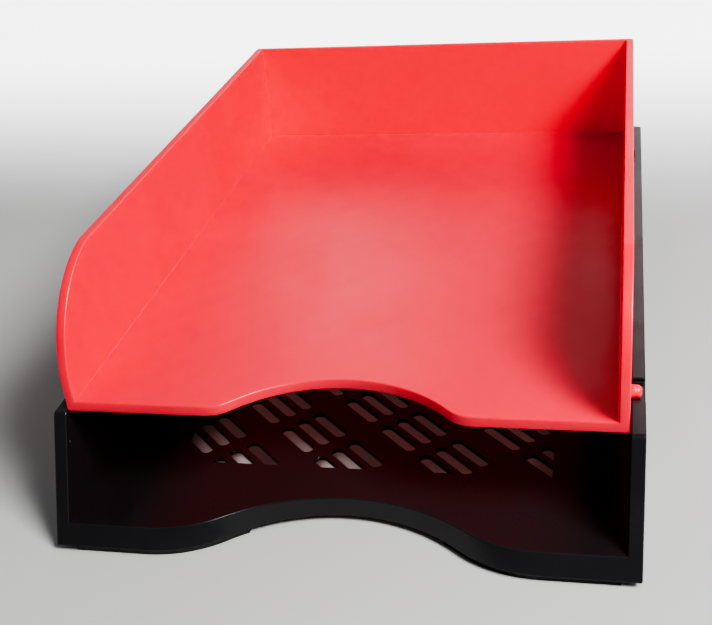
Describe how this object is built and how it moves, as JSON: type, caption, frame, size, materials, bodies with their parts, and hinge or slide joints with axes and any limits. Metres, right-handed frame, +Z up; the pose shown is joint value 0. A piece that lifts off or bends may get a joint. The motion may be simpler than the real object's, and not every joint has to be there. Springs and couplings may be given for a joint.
{
  "type": "letter tray",
  "caption": "Stack of open-front letter trays: a wider slotted lower tray, and an upper tray with round front corners that rests on pegs in rim notches and lifts off.",
  "frame": {"origin": "on the desk, at the middle of the lower tray's footprint", "axes": "+X to the right, +Y from the open front to the back wall, +Z up"},
  "size_m": [0.256, 0.376, 0.1215],
  "materials": {
    "black_plastic": "high gloss moulded",
    "red_plastic": "satin moulded"
  },
  "bodies": {
    "lower": {"lower_tray": "black_plastic"},
    "upper": {"upper_tray": "red_plastic"}
  },
  "joints": [
    {"name": "upper_lift", "type": "slide", "parent": "lower", "child": "upper", "axis": [0, 0, 1], "range_m": [0, 0.06]}
  ]
}
